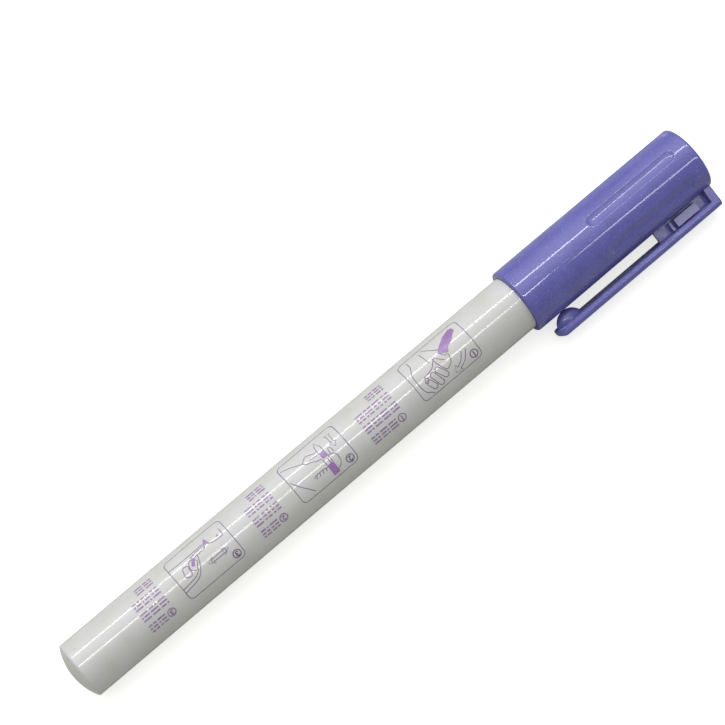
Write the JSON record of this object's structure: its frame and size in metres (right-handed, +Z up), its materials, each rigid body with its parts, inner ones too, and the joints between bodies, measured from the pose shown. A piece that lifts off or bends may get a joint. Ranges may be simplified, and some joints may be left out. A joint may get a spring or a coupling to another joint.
{
  "type": "fabric marking pen",
  "caption": "Capped fabric marking pen: white barrel with a domed tail, violet pull-off cap with a springy clip, and a fibre nib fed by an ink reservoir.",
  "frame": {"origin": "on the pen's axis, halfway along the barrel's bare cylinder between the tail's rim and the cap's mouth", "axes": "+X along the pen's axis towards the cap's top; +Z up, with the pen lying so that the cap and the edge of the clip would rest on a flat surface; the clip is on the -Y side, turned 27 degrees below level"},
  "size_m": [0.14, 0.016, 0.0126],
  "materials": {
    "barrel_plastic": "smooth white moulded plastic with a soft gloss",
    "nib_holder_plastic": "white moulded plastic",
    "nib_fibre": "bonded fibre stained with violet ink",
    "reservoir_fibre": "bundled fibre soaked with violet ink",
    "film_plastic": "clear thin film",
    "liner_plastic": "soft translucent white plastic",
    "cap_plastic": "glossy violet-blue moulded plastic"
  },
  "bodies": {
    "barrel": {"barrel": "barrel_plastic", "front_section": "nib_holder_plastic", "nib": "nib_fibre", "ink_reservoir": "reservoir_fibre", "reservoir_film": "film_plastic"},
    "liner": {"inner_cap": "liner_plastic"},
    "cap": {"cap_shell": "cap_plastic"},
    "clip": {"clip": "cap_plastic"}
  },
  "joints": [
    {"name": "cap_pull", "type": "slide", "parent": "barrel", "child": "liner", "axis": [1, 0, 0], "range_m": [0, 0.06]},
    {"name": "cap_turn", "type": "hinge", "parent": "liner", "child": "cap", "pos_m": [0.07, 0, 0], "axis": [1, 0, 0], "continuous": true},
    {"name": "clip_flex", "type": "hinge", "parent": "cap", "child": "clip", "pos_m": [0.07552, -0.00895, -0.00458], "axis": [0, -0.4557, 0.8902], "range_deg": [0, 4], "stiffness_Nm_per_rad": 0.8}
  ]
}
